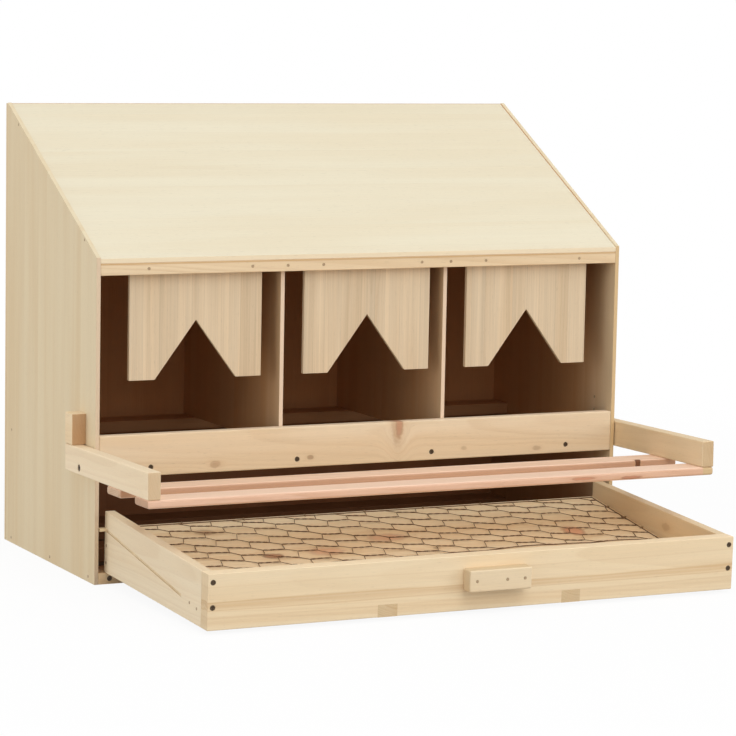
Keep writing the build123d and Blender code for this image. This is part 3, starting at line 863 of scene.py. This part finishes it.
def carry_ring(shape, edges, old, new):
    """Draws the wire on from one place to the next, and returns the new ring's edges."""
    grown = bmesh.ops.extrude_edge_only(shape, edges=edges)["geom"]
    verts = verts_of(grown)
    bmesh.ops.transform(shape, matrix=new @ old.inverted(), verts=verts)
    return [edge for edge in grown if isinstance(edge, bmesh.types.BMEdge) and set(edge.verts) <= set(verts)]


half_slant = Vector(((cell_length - twist_length) / 2, -cell_width / 4, 0))
aside = Vector((0, wire_radius, 0))
twist_start = Vector((-twist_length / 2, wire_radius, 0))
slant_start = twist_start - half_slant - aside
turn_rate = half_twist_turns * math.tau / (twist_length / 2)
along_twist = Vector((1, 0, wire_radius * turn_rate))
bend = half_slant.normalized() + along_twist.normalized()
places = [
    stance(slant_start, half_slant, up),
    stance(slant_start + half_slant * bend_from + aside * aside_from, half_slant, up),
    stance(slant_start + half_slant * bend_until + aside * aside_until, bend, up),
    stance(twist_start, along_twist, up),
]
strand = bmesh.new()
bmesh.ops.create_circle(strand, segments=wire_sides, radius=wire_radius, matrix=places[0])
ring = list(strand.edges)
for old, new in zip(places, places[1:]):
    ring = carry_ring(strand, ring, old, new)
step = Vector((twist_length / 2 / twist_steps, 0, 0))
bmesh.ops.spin(strand, geom=ring, cent=(0, 0, 0), axis=(1, 0, 0), dvec=step,
               angle=half_twist_turns * math.tau, steps=twist_steps)
print("half a strand has", len(strand.faces), "faces")

# %% [markdown]
# Half a turn about the upright line gives the whole strand, and half a turn about the twist gives the
# second strand. The ends fall on each other and are merged. The net on the real tray has been pulled
# askew, so its twists slant a little across the tray.

# %% A whole twist
twist_slant = 0.17
merge_reach = wire_radius * 0.05


def all_of(shape):
    return list(shape.verts) + list(shape.edges) + list(shape.faces)


def copy_turned(shape, axis):
    copied = bmesh.ops.duplicate(shape, geom=all_of(shape))["geom"]
    half_turn = Matrix.Rotation(math.pi, 3, axis)
    bmesh.ops.rotate(shape, verts=verts_of(copied), cent=(0, 0, 0), matrix=half_turn)


copy_turned(strand, "Z")
copy_turned(strand, "X")
bmesh.ops.remove_doubles(strand, verts=strand.verts, dist=merge_reach)
for vert in strand.verts:
    reach = abs(vert.co.x)
    past_twist = max(0, reach - twist_length / 2) / half_slant.x
    vert.co.y -= math.copysign(min(reach, twist_length / 2) * (1 - past_twist), vert.co.x) * twist_slant
print("a twist has", len(strand.faces), "faces")

# %% [markdown]
# The twist is then repeated over the floor, every other column half a cell further on. An Array modifier
# could do it, but the net has to lean and be trimmed afterwards, so real copies are made. The ends of
# neighbours are merged, the whole lattice leans, and four planes cut it to about the size of the net in
# the frame, with a little slack at the front.

# %% Repeat the twist and trim the net
net_low, net_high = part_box("wire_net")
net_middle = (net_low + net_high) / 2
edge_inset = 1 * MM
net_half_width = (net_high.x - net_low.x) / 2 - edge_inset
net_half_depth = (net_high.y - net_low.y) / 2 / math.cos(floor_slope) - edge_inset
net_lean = -0.17
front_slack = 4 * MM
first_twist = Vector((-4.9 * MM, 12.4 * MM, 0))
net_front = -net_half_depth - front_slack
net_rear = net_half_depth


def repeat_at(shape, places):
    """Puts a copy of the whole shape at each place, and takes the first one away."""
    original = all_of(shape)
    for place in places:
        copied = bmesh.ops.duplicate(shape, geom=original)["geom"]
        bmesh.ops.translate(shape, verts=verts_of(copied), vec=place)
    bmesh.ops.delete(shape, geom=original, context="VERTS")


columns = math.ceil(net_half_width / cell_length) + 1
rows = math.ceil(net_half_depth / cell_width) + 1
row_places = [first_twist + Vector((0, row * cell_width, 0)) for row in range(-rows, rows + 1)]
repeat_at(strand, row_places)
column_places = [
    Vector((column * cell_length, column % 2 / 2 * cell_width, 0)) for column in range(-columns, columns + 1)
]
repeat_at(strand, column_places)
bmesh.ops.remove_doubles(strand, verts=strand.verts, dist=merge_reach)
lean = Matrix.Identity(4)
lean[0][1] = net_lean
bmesh.ops.transform(strand, matrix=lean, verts=strand.verts)
for cut in ((net_half_width, 0, 0), (-net_half_width, 0, 0), (0, net_rear, 0), (0, net_front, 0)):
    bmesh.ops.bisect_plane(strand, geom=all_of(strand), plane_co=cut, plane_no=cut, clear_outer=True)
bmesh.ops.holes_fill(strand, edges=[edge for edge in strand.edges if edge.is_boundary], sides=0)
print("columns", len(column_places), "rows", len(row_places), "faces", len(strand.faces))

# %% [markdown]
# A thicker edge wire runs round the net. A bevelled curve would give the same wire, but each side is a
# ring of wire carried along in short steps, so that it is in the same mesh as the cells and bends with
# them later.

# %% Edge wires
edge_radius = 0.6 * MM
edge_steps = 48


def edge_wire(shape, start, end):
    run = (end - start) / edge_steps
    first = stance(start, run, up)
    circle = bmesh.ops.create_circle(
        shape, cap_ends=True, segments=wire_sides, radius=edge_radius, matrix=first
    )["verts"]
    edges = [edge for edge in shape.edges if set(edge.verts) <= set(circle)]
    for _ in range(edge_steps):
        edges = carry_ring(shape, edges, first, Matrix.Translation(run) @ first)
    bmesh.ops.edgenet_fill(shape, edges=edges)


corners = [Vector((-net_half_width, net_front, 0)), Vector((net_half_width, net_front, 0))]
corners += [Vector((net_half_width, net_rear, 0)), Vector((-net_half_width, net_rear, 0))]
for start, end in zip(corners, corners[1:] + corners[:1]):
    edge_wire(strand, start, end)
bmesh.ops.recalc_face_normals(strand, faces=strand.faces)
print("faces with edge wires", len(strand.faces))

# %% [markdown]
# Last, the whole net is shaken out of its flat plane: slow noise and quicker noise shift its cells, and a
# third noise lifts them a little off the floor. Staples hold the rear edge and the sides, so the shaking
# fades out there. The front edge is loose, and right of the middle it has been pushed back, as on the
# real tray. A cloth simulation could do this too, but noise is quicker. Blender draws its vector noise
# afresh by the clock in every session, so the draw is set here, and the wires lie the same in each run.

# %% The slackness of the net
shakes = ((0.09, 3.5 * MM), (0.035, 2.6 * MM))
lift = 3.2 * MM
lift_size = 0.07
lift_shift = Vector((9, 4, 2))
held_margin = 0.03
front_give = 0.075
give_power = 1.5
recess_depth = 10 * MM
recess_middle = 0.16
recess_width = 0.08
net_draw = 1795671910


def recess(x):
    """How far the loose front edge is pushed back from the front of the tray."""
    return recess_depth * math.exp(-((x - recess_middle) / recess_width) ** 2)


noise.seed_set(net_draw)
for vert in strand.verts:
    x, y, _ = vert.co
    spot = Vector((x, y, 0))
    drift = sum((noise.noise_vector(spot / size) * shake for size, shake in shakes), Vector())
    from_edge = min(net_half_width - abs(x), net_rear - y)
    free = min(max(from_edge / held_margin, 0), 1)
    give = max(0, 1 - (y - net_front) / front_give) ** give_power
    raised = abs(noise.noise(spot / lift_size + lift_shift)) * lift
    vert.co += Vector((drift.x, drift.y, raised)) * free + Vector((0, recess(x) * give, 0))

seat = Matrix.Translation(net_middle) @ Matrix.Rotation(floor_slope, 4, "X")
bmesh.ops.transform(strand, matrix=seat, verts=strand.verts)
for face in strand.faces:
    face.smooth = True
net = placed("twisted_net", strand, net_wire_and_shade)
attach(net, "tray")
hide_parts("wire_net")
print("net faces", len(net.data.polygons))
